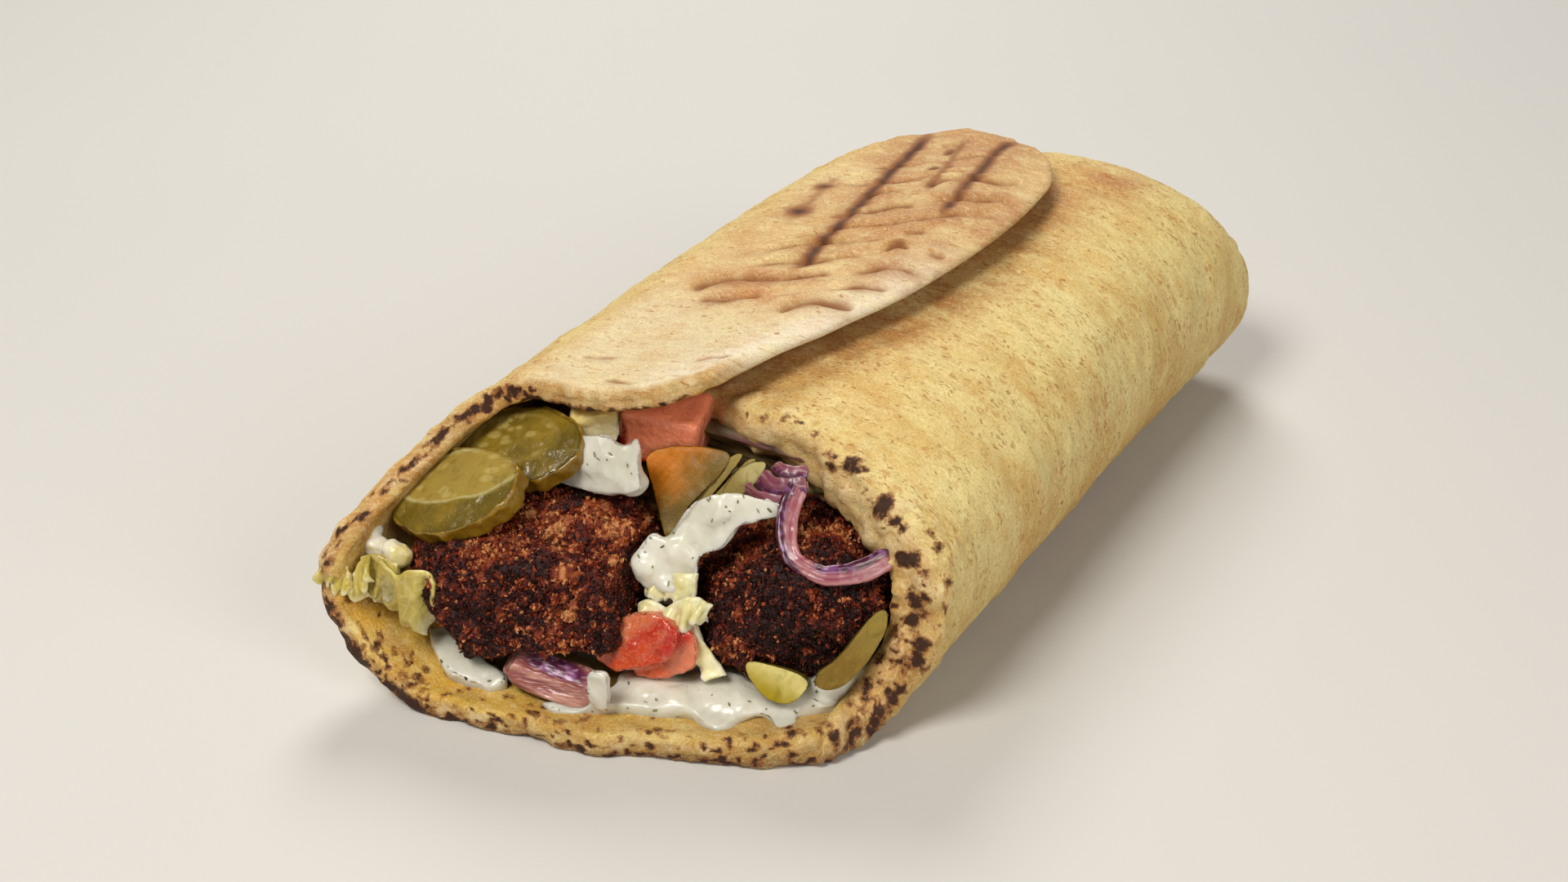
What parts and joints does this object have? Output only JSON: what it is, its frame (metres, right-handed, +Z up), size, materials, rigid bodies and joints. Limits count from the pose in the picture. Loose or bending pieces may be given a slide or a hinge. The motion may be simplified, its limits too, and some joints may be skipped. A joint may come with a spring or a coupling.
{
  "type": "falafel wrap",
  "caption": "Flatbread rolled round falafel, pickles, tomato, red onion, salad leaves and yogurt sauce, open at one end and tucked in at the other.",
  "frame": {"origin": "middle of the footprint of the bounding box, at the level of the table", "axes": "+Y along the wrap from its open end to its tucked end, +Z up, +X to the right for someone who looks into the open end"},
  "size_m": [0.1043, 0.1999, 0.0593],
  "materials": {
    "bread": "matt baked crust, browned in spots, with flour dust",
    "falafel": "rough, crumbly deep-fried crust",
    "tomato": "wet cut flesh",
    "pickle": "wet and slightly see-through",
    "onion": "wet, purple skin over pink flesh",
    "cabbage": "wet and slightly see-through",
    "lettuce": "thin and softly shiny",
    "sauce": "glossy cream with herb specks",
    "salad": "moist shreds"
  },
  "bodies": {
    "root": {"bread": "bread", "falafel_left": "falafel", "falafel_right": "falafel", "tomato_top": "tomato", "tomato_low": "tomato", "pickle_slice_left": "pickle", "pickle_slice_top": "pickle", "pickle_slice_middle": "pickle", "pickle_sliver": "pickle", "pickle_wedge": "pickle", "pickle_strip": "pickle", "onion_ring": "onion", "onion_shreds": "onion", "onion_wedge": "onion", "cabbage_rib": "cabbage", "cabbage_bits": "cabbage", "lettuce_left": "lettuce", "lettuce_middle": "lettuce", "sauce_top": "sauce", "sauce_middle": "sauce", "sauce_bed": "sauce", "salad_core": "salad"}
  },
  "joints": []
}
